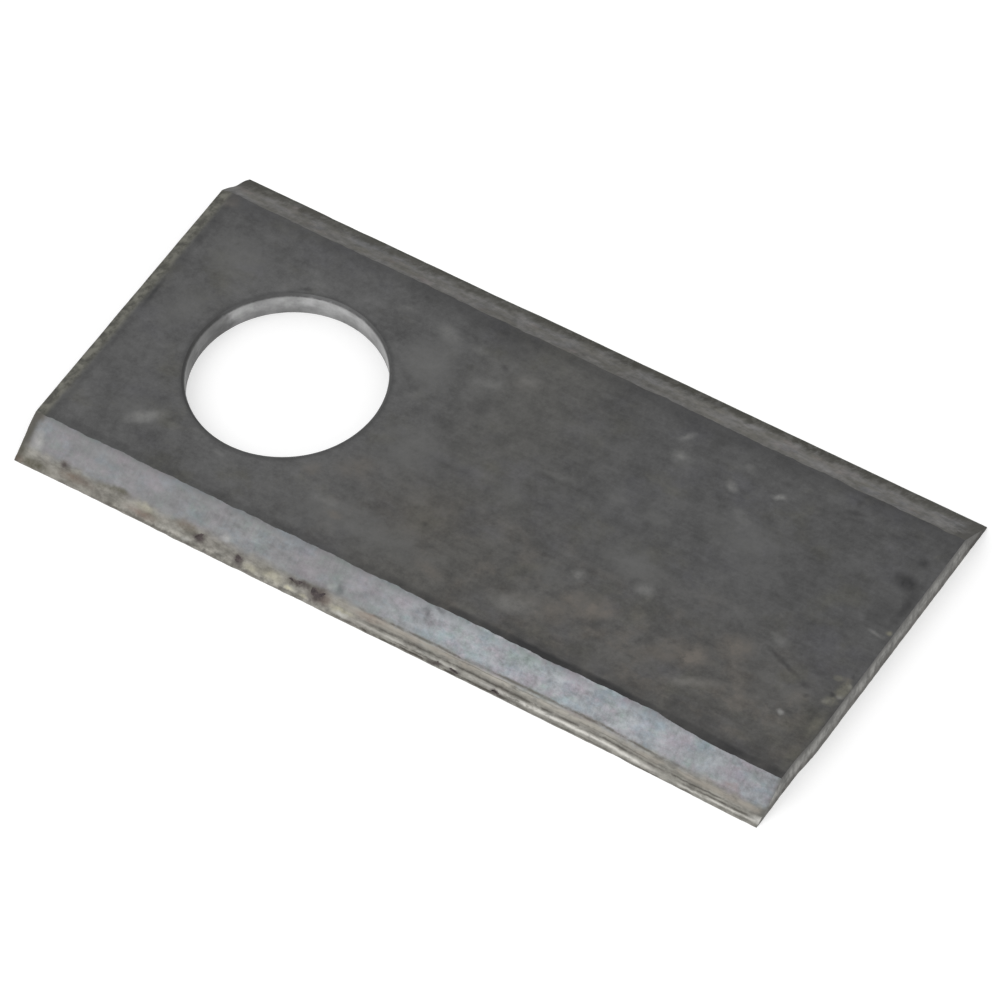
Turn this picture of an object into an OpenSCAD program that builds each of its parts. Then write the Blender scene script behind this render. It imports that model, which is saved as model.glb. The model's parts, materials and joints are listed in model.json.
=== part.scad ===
// Rotary mower blade: a short flat knife of hardened steel, cropped from bar,
// ground along both long edges and punched with one large pivot hole.
// The origin is on the pivot axis, at the underside. +X runs towards the far end, +Z up.

/* [Plate] */
// Length from the hole end to the far end
plate_len = 96; // [80:0.5:140]
// Width from cutting edge to cutting edge
plate_w = 46; // [42:0.5:70]
// Thickness of the flat bar
plate_t = 3; // [2.5:0.1:6]

/* [Pivot hole] */
// Diameter of the punched hole
hole_d = 22; // [14:0.1:26]
// Distance from the hole end to the middle of the hole
hole_from_end = 20.8; // [17:0.1:32]
// Radius of the rim that the punch rolled inwards on the top face
rim_roll = 0.3; // [0.1:0.05:0.6]
// Height of the rim that broke out under the punch
rim_break_h = 0.4; // [0.1:0.05:0.5]
// Width of the rim that broke out under the punch
rim_break_w = 0.25; // [0.05:0.05:0.5]

/* [Cutting edges] */
// Width of the front bevel, measured flat across the blade
front_bevel_w = 5; // [2:0.1:8]
// Width of the rear bevel, measured flat across the blade
rear_bevel_w = 4.5; // [2:0.1:8]
// Thickness left at each cutting edge
edge_land = 0.15; // [0.05:0.05:0.8]

/* [Cropped ends] */
// Height of the smooth band that the shear left under the top face
shear_band = 1; // [0.4:0.1:1.6]
// How far the torn face below that band falls back at the hole end
hole_end_lean = 0.35; // [0.05:0.05:0.8]
// How far the torn face below that band falls back at the far end
far_end_lean = 0.15; // [0.05:0.05:0.8]

/* [Hidden] */
$fn = 96;
steel_grey = [0.35, 0.35, 0.35];
hole_r = hole_d / 2;
half_w = plate_w / 2;
hole_end_x = -hole_from_end;
far_end_x = plate_len - hole_from_end;
// How far each cutter reaches past the face that it opens
overrun = 1;

// Section across the blade: a flat underside, a flat top and a bevel down to each edge
module ground_section() {
    polygon([
        [-half_w, 0],
        [half_w, 0],
        [half_w, edge_land],
        [half_w - rear_bevel_w, plate_t],
        [-half_w + front_bevel_w, plate_t],
        [-half_w, edge_land]
    ]);
}

// Bar of that section, laid along X
module ground_bar() {
    translate([hole_end_x, 0, 0])
        rotate([90, 0, 90])
            linear_extrude(plate_len) ground_section();
}

// Side view of the cropped length: square under the top face, then torn back
module cropped_outline() {
    band_z = plate_t - shear_band;
    polygon([
        [hole_end_x + hole_end_lean, -overrun],
        [hole_end_x + hole_end_lean, 0],
        [hole_end_x, band_z],
        [hole_end_x, plate_t + overrun],
        [far_end_x, plate_t + overrun],
        [far_end_x, band_z],
        [far_end_x - far_end_lean, 0],
        [far_end_x - far_end_lean, -overrun]
    ]);
}

// Both sheared ends, as the space that is left between them
module between_shears() {
    rotate([90, 0, 0])
        linear_extrude(plate_w + 2 * overrun, center = true) cropped_outline();
}

// Half section of the punched hole: rolled rim above, straight wall, broken rim below
module hole_half_section() {
    translate([0, -overrun]) square([hole_r, plate_t + 2 * overrun]);
    polygon([
        [0, -overrun],
        [hole_r + rim_break_w, -overrun],
        [hole_r + rim_break_w, 0],
        [hole_r, rim_break_h],
        [0, rim_break_h]
    ]);
    difference() {
        translate([0, plate_t - rim_roll]) square([hole_r + rim_roll, rim_roll + overrun]);
        translate([hole_r + rim_roll, plate_t - rim_roll]) circle(r = rim_roll);
    }
}

module punched_hole() {
    rotate_extrude() hole_half_section();
}

module blade() {
    color(steel_grey)
        difference() {
            intersection() {
                ground_bar();
                between_shears();
            }
            punched_hole();
        }
}

blade();
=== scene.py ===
# %% [markdown]
# # A rotary mower blade
# The object is one flat steel knife. A length of hot-rolled bar is cropped, punched with a
# pivot hole and ground along both long edges, and it stays dark where no tool has touched it.
# This lesson makes the visual model in that same order: bar, grinding, cropping, punching,
# wear. Each step cuts real shape and leaves its own finish behind.

# %% Load the frame
import json
import math

import bpy
from mathutils import Matrix, Vector


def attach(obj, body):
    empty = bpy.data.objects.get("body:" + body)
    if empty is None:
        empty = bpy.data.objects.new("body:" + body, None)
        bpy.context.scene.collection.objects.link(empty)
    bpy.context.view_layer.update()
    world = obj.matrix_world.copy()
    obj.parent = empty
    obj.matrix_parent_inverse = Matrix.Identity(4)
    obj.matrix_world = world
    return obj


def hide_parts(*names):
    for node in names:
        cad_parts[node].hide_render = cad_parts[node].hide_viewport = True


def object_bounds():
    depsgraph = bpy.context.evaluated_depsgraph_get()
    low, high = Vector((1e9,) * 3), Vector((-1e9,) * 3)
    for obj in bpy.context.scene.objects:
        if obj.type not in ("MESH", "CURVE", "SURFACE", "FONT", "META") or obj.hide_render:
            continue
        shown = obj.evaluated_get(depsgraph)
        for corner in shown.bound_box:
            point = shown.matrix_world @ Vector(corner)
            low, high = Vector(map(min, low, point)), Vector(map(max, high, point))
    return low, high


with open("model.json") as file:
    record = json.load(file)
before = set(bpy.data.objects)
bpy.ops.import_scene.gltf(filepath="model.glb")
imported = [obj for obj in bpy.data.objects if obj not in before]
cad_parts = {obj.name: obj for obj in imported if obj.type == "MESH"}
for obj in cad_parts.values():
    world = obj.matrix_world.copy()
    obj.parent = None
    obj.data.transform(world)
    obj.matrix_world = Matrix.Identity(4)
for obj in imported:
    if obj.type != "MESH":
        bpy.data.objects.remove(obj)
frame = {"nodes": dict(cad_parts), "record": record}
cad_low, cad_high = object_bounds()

print("CAD nodes:", sorted(frame["nodes"]))

# %% [markdown]
# ## Sizes
# The CAD solid already fixes every size, so nothing is measured twice. Lengths are in
# millimetres here, because a blade's details are tenths of a millimetre, and the finished mesh
# is scaled to metres once, at the end. The bevels show in the solid's own corners: the top
# face starts where a bevel ends.

# %% Read the blade's sizes from the solid
MM = 0.001
NEAR = 0.01
corners = [v.co / MM for v in frame["nodes"]["blade"].data.vertices]
low = Vector(cad_low) / MM
high = Vector(cad_high) / MM
thickness = high.z
length = high.x - low.x
width = high.y - low.y
hole_end = low.x
front_edge = low.y
rear_edge = high.y
top_rim = [c.y for c in corners if c.z > thickness - NEAR]
front_bevel = min(top_rim) - front_edge
rear_bevel = rear_edge - max(top_rim)
edge_land = max(c.z for c in corners if c.y < front_edge + NEAR)
hole_radius = frame["record"]["mounts"][0]["dims"]["r_mm"]
print(f"plate {length:.1f} x {width:.1f} x {thickness:.1f} mm, hole {2 * hole_radius:.1f} mm across")
print(f"bevels {front_bevel:.2f} and {rear_bevel:.2f} mm wide, {edge_land:.2f} mm left at the edge")

# %% [markdown]
# ## Writing node trees as sums
# Long node trees are hard to read as boxes and wires. A small class wraps one output socket, so
# that `1 - mask * 0.5` adds the Math nodes by itself. Every other node comes from one method,
# which takes the node's type, its settings and what goes into its sockets. The same two classes
# serve the materials and the geometry.


# %% Sockets that can be added and multiplied
class Wire:
    """One output of a node. Python's operators on it add Math nodes."""

    def __init__(self, board, socket):
        self.board = board
        self.socket = socket

    def out(self, name):
        return Wire(self.board, self.socket.node.outputs[name])

    def __add__(self, other):
        return self.board.math("ADD", self, other)

    def __radd__(self, other):
        return self.board.math("ADD", other, self)

    def __sub__(self, other):
        return self.board.math("SUBTRACT", self, other)

    def __rsub__(self, other):
        return self.board.math("SUBTRACT", other, self)

    def __mul__(self, other):
        return self.board.math("MULTIPLY", self, other)

    def __rmul__(self, other):
        return self.board.math("MULTIPLY", other, self)

    def __truediv__(self, other):
        return self.board.math("DIVIDE", self, other)

    def __pow__(self, other):
        return self.board.math("POWER", self, other)

    def __neg__(self):
        return self.board.math("SUBTRACT", 0.0, self)

    def size(self):
        return self.board.math("ABSOLUTE", self)

    def at_least(self, other):
        return self.board.math("MAXIMUM", self, other)

    def at_most(self, other):
        return self.board.math("MINIMUM", self, other)


print("wires ready")


# %% A board that any node can be put on
class Board:
    """A node tree with one method that adds any node, and a few short names for common ones."""

    def __init__(self, tree):
        self.tree = tree

    def feed(self, node, inputs):
        """Link wires to a node's sockets and set plain values on them."""
        for key, value in inputs.items():
            for item in value if isinstance(value, list) else [value]:
                if isinstance(item, Wire):
                    self.tree.links.new(item.socket, node.inputs[key])
                else:
                    node.inputs[key].default_value = item

    def node(self, kind, settings=None, inputs=None, out=0):
        made = self.tree.nodes.new(kind)
        for name, value in (settings or {}).items():
            setattr(made, name, value)
        self.feed(made, inputs or {})
        return Wire(self, made.outputs[out]) if made.outputs else None

    def math(self, operation, *values):
        return self.node("ShaderNodeMath", {"operation": operation}, dict(enumerate(values)))

    def vector(self, x, y, z):
        return self.node("ShaderNodeCombineXYZ", None, {0: x, 1: y, 2: z})

    def vector_math(self, operation, first, second):
        return self.node("ShaderNodeVectorMath", {"operation": operation}, {0: first, 1: second})

    def scaled(self, vector, factor):
        return self.node("ShaderNodeVectorMath", {"operation": "SCALE"}, {0: vector, "Scale": factor})

    def parts(self, vector):
        x = self.node("ShaderNodeSeparateXYZ", None, {0: vector})
        return x, x.out("Y"), x.out("Z")

    def noise(self, vector, scale, detail=2.0, roughness=0.5, seed=0.0):
        inputs = {"Vector": vector, "W": seed, "Scale": scale, "Detail": detail, "Roughness": roughness}
        return self.node("ShaderNodeTexNoise", {"noise_dimensions": "4D"}, inputs)

    def ramp(self, value, start, end, peak=1.0):
        """0 before start, peak after end and a soft step between them. It falls if end is lower."""
        inputs = {"Value": value, "From Min": start, "From Max": end, "To Max": peak}
        return self.node("ShaderNodeMapRange", {"interpolation_type": "SMOOTHSTEP"}, inputs)

    def band(self, value, middle, half_width, peak=1.0):
        """The peak at the middle, falling softly to 0 at half_width on either side."""
        return self.ramp((value - middle).size(), half_width, 0.0, peak)

    def mix(self, share, first, second):
        inputs = {"Factor": share, 6: first, 7: second}
        return self.node("ShaderNodeMix", {"data_type": "RGBA"}, inputs, out=2)


print("node helpers ready")

# %% [markdown]
# ## Camera
# The photograph was taken from far off with a long lens, so the blade's long sides stay almost
# parallel. The camera is given as a photographer would note it: what it aims at, its bearing,
# its height angle, a small roll and its distance.

# %% Set up the camera
AIM = Vector((28.7, -1.6, 1.5)) * MM
BEARING = math.radians(36.295)
HEIGHT_ANGLE = math.radians(52.085)
ROLL = math.radians(-4.33)
DISTANCE = 0.9933
LENS = 331.5
SENSOR = 36.0

level = Vector((math.cos(BEARING), math.sin(BEARING), 0))
back = Vector((
    math.sin(BEARING) * math.cos(HEIGHT_ANGLE),
    -math.cos(BEARING) * math.cos(HEIGHT_ANGLE),
    math.sin(HEIGHT_ANGLE),
))
upward = back.cross(level)
camera_right = level * math.cos(ROLL) + upward * math.sin(ROLL)
camera_up = back.cross(camera_right)
camera = bpy.data.objects.new("camera", bpy.data.cameras.new("camera"))
camera.data.lens = LENS
camera.data.sensor_width = SENSOR
turn = Matrix((camera_right, camera_up, back)).transposed().to_4x4()
camera.matrix_world = Matrix.Translation(AIM + back * DISTANCE) @ turn
bpy.context.scene.collection.objects.link(camera)
bpy.context.scene.camera = camera
print("camera at", [round(v / MM, 1) for v in camera.matrix_world.translation], "mm")

# %% [markdown]
# ## Finishes
# The steel shows what each tool left on it: mill scale on the flats, ground bevels, cropped
# ends, a punched wall, and rust in its nicks, darkened further by painted shade. All these
# finishes read Object coordinates, turned into millimetres: `along` runs from the hole end,
# `across` from the middle of the blade and `up` from the underside. Colours are written as the
# eye reads them, in 0 to 255, and turned into the linear values that Blender works with.


# %% Colour and coordinate helpers
# A patch has faded out at this many times its half length and half width.
FADE_REACH = 1.1


def colour(red, green, blue):
    """An sRGB colour as the linear one that a shader takes."""
    linear = [((c / 255 + 0.055) / 1.055) ** 2.4 for c in (red, green, blue)]
    return (*linear, 1.0)


class Finish(Board):
    """A material under construction, with the blade's own millimetre coordinates."""

    def __init__(self, name):
        self.material = bpy.data.materials.new(name)
        self.material.use_nodes = True
        super().__init__(self.material.node_tree)
        self.shader = self.tree.nodes["Principled BSDF"]
        object_place = self.node("ShaderNodeTexCoord").out("Object")
        self.place = self.scaled(object_place, 1 / MM)
        x, self.across, self.up = self.parts(self.place)
        self.along = x - hole_end

    def cloud(self, x, y, z, seed, detail=4.0, roughness=0.6):
        """Noise around 0, with so many waves in a millimetre along each direction."""
        stretched = self.vector_math("MULTIPLY", self.place, (x, y, z))
        return self.noise(stretched, 1.0, detail, roughness, seed) - 0.5

    def flat_distance(self, vector):
        """How far a place is from the origin, as seen from above."""
        flat = self.vector_math("MULTIPLY", vector, (1, 1, 0))
        return self.node("ShaderNodeVectorMath", {"operation": "LENGTH"}, {0: flat}, out="Value")

    def patches(self, rows, fray=0.5, broken=3.0):
        """Soft patches with frayed edges and a broken inside, as seen from above.
        A row is a patch's middle along and across, half length, half width, turn and strength."""
        wobble = self.noise(self.place, 0.8, detail=4.0, roughness=0.65, seed=3.0).out("Color")
        wobble = self.scaled(self.vector_math("SUBTRACT", wobble, (0.5, 0.5, 0.5)), 2 * fray)
        frayed = self.vector_math("ADD", self.place, wobble)
        round_spot = {"gradient_type": "SPHERICAL"}
        strongest = None
        for along, across, half_length, half_width, turned, strength in rows:
            spot = self.node("ShaderNodeTexGradient", round_spot, {0: frayed}, out="Fac")
            own = spot.socket.node.texture_mapping
            own.vector_type = "TEXTURE"
            own.translation = (hole_end + along, across, 0)
            own.rotation = (0, 0, math.radians(turned))
            own.scale = (FADE_REACH * half_length, FADE_REACH * half_width, 1)
            own.mapping_z = "NONE"
            patch = self.ramp(spot, 0.0, 1.0, strength)
            strongest = strongest.at_least(patch) if strongest else patch
        inside = 1.0 + broken * self.cloud(0.9, 0.9, 0.9, 4.0, roughness=0.7)
        return strongest * inside.at_least(0.0).at_most(1.4)

    def finish(self, base, roughness, metallic, bump, bump_depth, specular=0.5):
        inputs = {"Height": bump, "Distance": bump_depth * MM, "Strength": 1.0}
        self.feed(self.shader, {
            "Base Color": base,
            "Roughness": roughness,
            "Metallic": metallic,
            "Specular IOR Level": specular,
            "Normal": self.node("ShaderNodeBump", None, inputs),
        })
        return self.material


print("finish helpers ready")

# %% [markdown]
# ### Mill scale
# Hot rolling leaves a thin dark oxide on the flats. It is cloudy at every scale, from patches as
# wide as a finger down to single flakes, so several layers of noise are added up. It is neutral
# near the hole and browner towards the lower far corner. What years of use added is placed one
# by one: pale scuffs, brown stains, dark blotches, areas worn lighter, and olive dirt at the far
# end. Each row is one mark, and each mark a spherical gradient, which its own mapping places,
# turns and stretches. Sums could do that too, but would need many more nodes for every mark.

# %% Marks on the top face
# Middle along and across, half length, half width, turn in degrees, strength.
SCUFFS = [
    (10.9, -12.6, 3.2, 1.2, 38, 0.62),
    (14.2, -12.2, 1.0, 0.9, 0, 0.18),
    (16.8, 12.4, 1.4, 0.8, 20, 0.24),
    (20.3, -12.8, 0.9, 0.5, 0, 0.30),
    (27.0, 14.5, 1.6, 0.8, 20, 0.26),
    (33.0, 13.9, 2.2, 1.3, -20, 0.44),
    (34.2, -12.2, 2.6, 1.2, 0, 0.24),
    (34.5, 5.0, 2.4, 1.0, 40, 0.20),
    (37.0, 13.6, 1.5, 0.7, 0, 0.22),
    (40.2, 10.2, 3.0, 0.9, 26, 0.34),
    (44.0, 12.6, 2.2, 1.3, 30, 0.22),
    (54.0, 3.4, 3.4, 0.6, 8, 0.16),
    (58.8, -13.8, 4.4, 1.9, 12, 0.36),
    (61.0, 4.1, 2.4, 0.7, 5, 0.16),
    (63.0, 15.2, 1.4, 0.6, 55, 0.44),
    (63.7, 12.5, 1.6, 1.2, 0, 0.50),
    (63.0, -6.9, 1.4, 1.3, 0, 0.42),
    (70.1, -4.8, 1.5, 1.3, 0, 0.42),
    (70.7, 11.8, 1.2, 0.8, -30, 0.62),
    (71.0, 15.0, 1.1, 0.7, -20, 0.24),
    (73.8, 8.8, 1.8, 0.9, -30, 0.34),
    (75.8, 13.2, 1.1, 0.6, 35, 0.72),
    (80.5, -12.8, 4.6, 0.9, 25, 0.26),
    (86.0, -3.0, 1.8, 0.9, -15, 0.38),
    (91.0, -11.1, 0.6, 0.5, -40, 0.85),
    (94.2, 2.8, 1.4, 0.4, -8, 0.60),
    (95.6, -4.6, 0.4, 0.5, 0, 0.90),
    (95.4, -6.3, 0.5, 0.4, 30, 0.80),
    (94.5, -7.4, 0.6, 0.4, 40, 0.60),
]
STAINS = [
    (1.6, 17.4, 1.8, 1.4, 0, 0.50),
    (30.5, -9.3, 1.3, 1.3, 20, 0.45),
    (34.5, -6.6, 3.6, 2.3, 35, 0.42),
    (36.0, -13.3, 1.0, 0.8, 0, 0.60),
    (44.0, -8.5, 6.0, 4.5, 35, 0.26),
    (44.0, 12.4, 2.6, 1.6, 30, 0.22),
    (48.6, -14.4, 2.6, 1.1, -10, 0.55),
    (59.5, -13.2, 4.4, 2.0, 15, 0.30),
    (63.2, -12.4, 2.4, 2.2, 0, 0.60),
    (64.6, -9.4, 2.4, 1.3, 20, 0.60),
    (66.4, -9.8, 3.4, 1.9, 40, 0.80),
    (68.2, -9.5, 1.8, 1.5, 20, 0.75),
    (76.4, -11.0, 4.2, 1.8, 25, 0.50),
    (79.2, -9.8, 2.8, 2.0, 10, 0.95),
    (81.5, -12.4, 4.6, 1.0, 25, 0.36),
    (82.4, -6.2, 2.8, 2.1, 20, 0.75),
    (86.2, -12.6, 1.6, 2.0, 20, 0.15),
    (91.6, -8.6, 1.8, 1.4, 60, 0.35),
    (94.8, -4.0, 0.7, 0.7, 0, 0.60),
]
BLOTCHES = [
    (1.8, 2.2, 0.5, 4.2, 0, 0.70),
    (16.0, 11.1, 1.3, 0.5, 30, 0.55),
    (19.5, 14.6, 4.5, 2.2, 0, 0.24),
    (21.0, -16.6, 2.6, 1.2, 0, 0.25),
    (38.0, 17.6, 9.0, 1.9, 0, 0.66),
    (40.5, 16.0, 3.6, 2.6, 0, 0.34),
    (40.8, 13.0, 0.7, 0.6, 0, 0.45),
    (41.3, 7.4, 2.2, 2.4, 0, 0.26),
    (63.0, 1.4, 3.6, 1.0, 5, 0.18),
    (72.0, -16.4, 2.4, 1.2, 0, 0.40),
    (83.9, 15.5, 1.6, 0.5, 10, 0.60),
    (83.7, 16.9, 0.7, 0.9, 0, 0.60),
    (86.0, -9.2, 3.6, 1.9, 0, 0.16),
    (87.2, -16.4, 2.4, 1.2, 0, 0.28),
    (87.9, -5.4, 3.9, 0.45, -20, 0.60),
    (91.3, -6.7, 1.0, 0.6, -20, 0.50),
    (92.2, -7.9, 0.6, 0.4, 30, 0.45),
    (93.4, 5.6, 1.9, 4.2, 0, 0.36),
    (93.6, 10.3, 2.2, 1.6, -15, 1.00),
    (93.9, 13.4, 1.1, 1.0, 0, 0.75),
    (94.6, -6.4, 0.5, 0.5, 0, 0.65),
    (95.2, -3.2, 0.5, 0.6, 0, 0.55),
    (95.2, 8.0, 1.0, 6.0, 0, 0.60),
]
WORN_AREAS = [
    (6.0, 2.5, 3.0, 4.5, 0, 0.50),
    (7.0, 11.2, 5.0, 4.0, 0, 0.65),
    (9.5, -12.2, 3.6, 3.2, 0, 0.50),
    (33.0, -16.2, 2.6, 1.4, 0, 0.50),
    (33.5, 9.5, 4.0, 5.0, 0, 0.75),
    (38.5, -2.0, 6.0, 4.5, 0, 0.45),
    (40.0, -13.6, 13.0, 3.2, 0, 0.55),
    (50.5, -1.0, 2.5, 2.0, 0, 0.50),
    (60.0, -8.5, 2.6, 2.0, 0, 0.50),
    (66.0, 4.0, 2.4, 1.8, 0, 0.50),
    (67.5, -2.4, 6.0, 3.4, 0, 0.60),
    (75.5, 6.5, 6.0, 4.5, 0, 0.50),
]
OLIVE_DIRT = [
    (95.3, -5.2, 0.9, 1.7, 0, 0.80),
    (94.8, -7.2, 1.0, 0.9, 30, 0.65),
    (94.0, -4.2, 0.9, 0.6, 20, 0.40),
    (95.1, -10.6, 0.9, 2.8, 0, 0.36),
    (95.1, -15.8, 0.9, 2.4, 0, 0.24),
    (95.5, 3.6, 0.5, 0.5, 0, 0.70),
]
print(len(SCUFFS), "scuffs,", len(STAINS), "stains,", len(BLOTCHES), "blotches")
print(len(WORN_AREAS), "worn areas and", len(OLIVE_DIRT), "spots of dirt")


# %% Bare mill scale
def mill_scale(name, seed):
    """Bare scale, the same on both flats. Returns the unfinished material and its colour."""
    f = Finish(name)
    far_half = f.ramp(f.along, 20.0, 60.0)
    brown_side = far_half * f.ramp(f.across, 2.0, -13.0)
    clouds = f.cloud(0.10, 0.10, 0.10, seed) * 0.9
    mottle = f.cloud(0.38, 0.45, 0.45, seed + 1, roughness=0.7) * (1.4 + 0.5 * brown_side)
    lines = f.cloud(0.05, 1.30, 1.00, seed + 2, detail=3.0) * (0.3 + 0.25 * far_half)
    flakes = f.cloud(2.00, 2.20, 2.20, seed + 3, roughness=0.75) * 0.9
    rust = f.ramp(f.cloud(0.24, 0.30, 0.30, seed + 4, roughness=0.7), -0.02, 0.16)
    blue = f.ramp(f.cloud(0.14, 0.18, 0.18, seed + 5), 0.0, 0.2, 0.35)
    olive = f.ramp(f.cloud(0.16, 0.20, 0.20, seed + 6), 0.02, 0.2, 0.5)
    base = f.mix(far_half, colour(81, 81, 81), colour(77, 77, 77))
    base = f.mix(f.band(f.along, 47.0, 14.0, 0.5), base, colour(80, 79, 75))
    base = f.mix(brown_side * 0.5, base, colour(80, 78, 74))
    base = f.mix(brown_side * rust * 0.4, base, colour(99, 93, 86))
    base = f.mix(blue, base, colour(76, 76, 82))
    base = f.mix(olive, base, colour(80, 79, 71))
    base = f.scaled(base, 1.0 + clouds + mottle + lines + flakes)
    f.bump = flakes + mottle * 0.8
    f.roughness = 0.52 + clouds * 0.2 + flakes * 0.15
    return f, base


def finished_scale(f, base):
    return f.finish(base, f.roughness, 0.0, f.bump, 0.03, specular=0.3)


print("bare scale ready")


# %% Mill scale with its marks
def shaded_and_dark_borders(f):
    """How dark the scale is beside each tool's cut: painted shade beside both bevels, with a black
    line along the front one, and darker beside the hole and the far end.
    """
    patchy = f.cloud(0.4, 0.4, 0.4, 6.0)
    from_front = f.across - (front_edge + front_bevel) + f.cloud(0.15, 0.0, 0.0, 5.0) * 0.6
    from_front = from_front + f.ramp(f.along, 84.0, 90.0, 0.35)
    from_rear = (rear_edge - rear_bevel) - f.across + patchy
    from_hole = f.flat_distance(f.place) - hole_radius + f.cloud(0.2, 0.2, 0.2, 8.0)
    from_far_end = length - f.along + patchy * 2.0
    blackness = 0.25 + f.ramp(f.along, 42.0, 68.0, 0.70) - f.ramp(f.along, 75.0, 81.0, 0.36)
    blackness = blackness + f.band(f.along, 90.0, 4.0, 0.30)
    blackness = blackness * (1.0 + f.cloud(0.35, 0.5, 0.5, 9.0) * 1.6)
    # Painted shade: a black line on the top face along the front bevel.
    line = f.ramp(from_front + patchy * 0.6, 1.25, 0.5) * blackness
    # Painted shade: a broader, fainter dark band beside the front bevel towards the far end.
    tail = f.ramp(from_front, 4.5, 1.0, 0.24) * f.ramp(f.along, 50.0, 64.0)
    dark = line.at_least(tail)
    # Painted shade: a dark band on the top face beside the rear bevel.
    dark = dark.at_least(f.ramp(from_rear, 2.8, 0.4, 0.34))
    dark = dark.at_least(f.ramp(from_hole, 1.1, 0.5, 0.40))
    return dark.at_least(f.ramp(from_far_end, 4.5, 0.8, 0.14))


def marked_scale():
    """The top face: scale with its marks, painted shade beside the bevels, and darker beside the
    hole, at the far end and where the shear bent it.
    """
    f, base = mill_scale("mill_scale_top", 1.0)
    rubbed = f.ramp(f.flat_distance(f.place), hole_radius + 6.0, hole_radius + 1.0, 0.07)
    base = f.scaled(base, 1.0 + rubbed)
    base = f.mix(f.patches(WORN_AREAS, fray=1.5, broken=2.0), base, colour(101, 101, 100))
    base = f.mix(f.patches(STAINS, fray=0.9, broken=3.5), base, colour(104, 99, 93))
    base = f.mix(f.patches(SCUFFS, fray=0.4), base, colour(128, 128, 126))
    base = f.mix(f.patches(OLIVE_DIRT, fray=0.5, broken=4.0), base, colour(124, 122, 108))
    speckle = f.cloud(1.1, 1.1, 1.1, 7.0)
    bent = f.along + speckle * 0.9
    # Dark blotches, together with the painted shade beside the bevels and the darker borders at the
    # hole and the far end.
    dark = f.patches(BLOTCHES, broken=1.5).at_least(shaded_and_dark_borders(f))
    dark = dark.at_least(f.band(bent, 1.9, 0.8, 0.24))
    base = f.mix(dark, base, colour(36, 36, 37))
    olive = f.mix(f.ramp(speckle, -0.15, 0.15), colour(66, 65, 58), colour(116, 115, 105))
    return finished_scale(f, f.mix(f.ramp(bent, 1.7, 0.9, 0.85), base, olive))


top_scale = marked_scale()
under_scale = finished_scale(*mill_scale("mill_scale_underside", 11.0))
print("mill scale on the top and the underside")

# %% [markdown]
# ### Ground steel
# The bevels are bare steel. The front one is the brighter one, under the lamp and in its base
# colour, and it is mottled in faint blue, green and rose where it has begun to tarnish. Along its
# edge runs a band of separate passes. Near the hole they are worn into one stained strip, and
# towards the far end each keeps its own line: olive, tan, dark, pale, and a broken dark one at the
# edge itself.
# Stones have left nicks in it. They are cut into the shape further down, and here each gets a
# dark patch around it, rust stain and painted shade together.

# %% Marks on the front bevel
# Place along the blade from the hole end, height on the front bevel as a share of it,
# then the nick's half length, half width and depth.
NICKS = [
    (24.0, 0.20, 0.52, 0.32, 0.09),
    (29.2, 0.14, 0.42, 0.46, 0.09),
    (36.4, 0.24, 0.70, 0.20, 0.07),
    (39.3, 0.21, 0.90, 0.60, 0.12),
    (54.9, 0.04, 0.60, 0.16, 0.08),
    (57.3, 0.04, 0.60, 0.14, 0.08),
    (62.5, 0.04, 0.40, 0.14, 0.08),
]
# Each nick's dark patch is rust stain and painted shade together.
STAIN_AND_SHADE_REACH = 2.1
# Middle along, share of the height, half length, half width, turn in degrees, strength.
NICK_STAINS_AND_SHADE = [
    (along, share, STAIN_AND_SHADE_REACH * half_length, STAIN_AND_SHADE_REACH * half_width, 0, 1.0)
    for along, share, half_length, half_width, _ in NICKS
]
NICK_STAINS_AND_SHADE += [
    (6.0, 0.29, 1.0, 0.6, 0, 0.95),
    (8.8, 0.20, 1.7, 0.6, 0, 0.35),
    (37.5, 0.26, 1.8, 0.6, 3, 0.95),
    (38.8, 0.09, 0.7, 0.6, 0, 0.80),
]
# Lighter patches on the front bevel.
PALE_PATCHES = [
    (2.0, 0.45, 0.9, 1.6, 15, 0.30),
    (22.6, 0.08, 0.9, 0.35, 0, 0.50),
    (27.0, 0.40, 0.9, 0.5, 10, 0.30),
    (40.2, 0.44, 0.9, 0.4, 25, 0.20),
    (42.7, 0.07, 1.3, 0.35, 0, 0.60),
    (95.4, 0.05, 1.3, 0.5, 0, 0.90),
]
GREY_RUBS = [
    (41.4, 0.47, 0.8, 1.2, 20, 0.55),
    (51.6, 0.82, 0.9, 0.5, -50, 0.70),
    (52.7, 0.96, 0.9, 0.35, -10, 0.80),
]
RED_STAINS = [
    (0.5, 0.04, 1.0, 0.6, 0, 0.70),
    (8.0, 0.16, 3.0, 0.6, 0, 0.30),
    (16.4, 0.12, 2.6, 0.6, 0, 0.40),
    (22.0, 0.30, 1.8, 0.6, 0, 0.25),
    (39.9, 0.20, 1.6, 0.9, 0, 0.45),
    (46.0, 0.26, 2.6, 0.5, 4, 0.55),
    (72.5, 0.34, 3.0, 0.4, 2, 0.30),
    (91.0, 0.40, 1.5, 0.6, 10, 0.30),
]
OLIVE_STAINS = [
    (2.8, 0.06, 3.4, 0.7, 0, 0.75),
    (7.6, 0.16, 2.6, 0.9, 0, 0.40),
    (12.4, 0.30, 3.4, 0.5, 4, 0.70),
    (17.8, 0.17, 2.6, 0.5, 0, 0.35),
    (22.2, 0.28, 2.6, 0.6, -3, 0.50),
    (36.4, 0.23, 1.6, 0.35, 6, 0.70),
    (38.6, 0.30, 2.2, 0.45, 2, 0.60),
]
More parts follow.
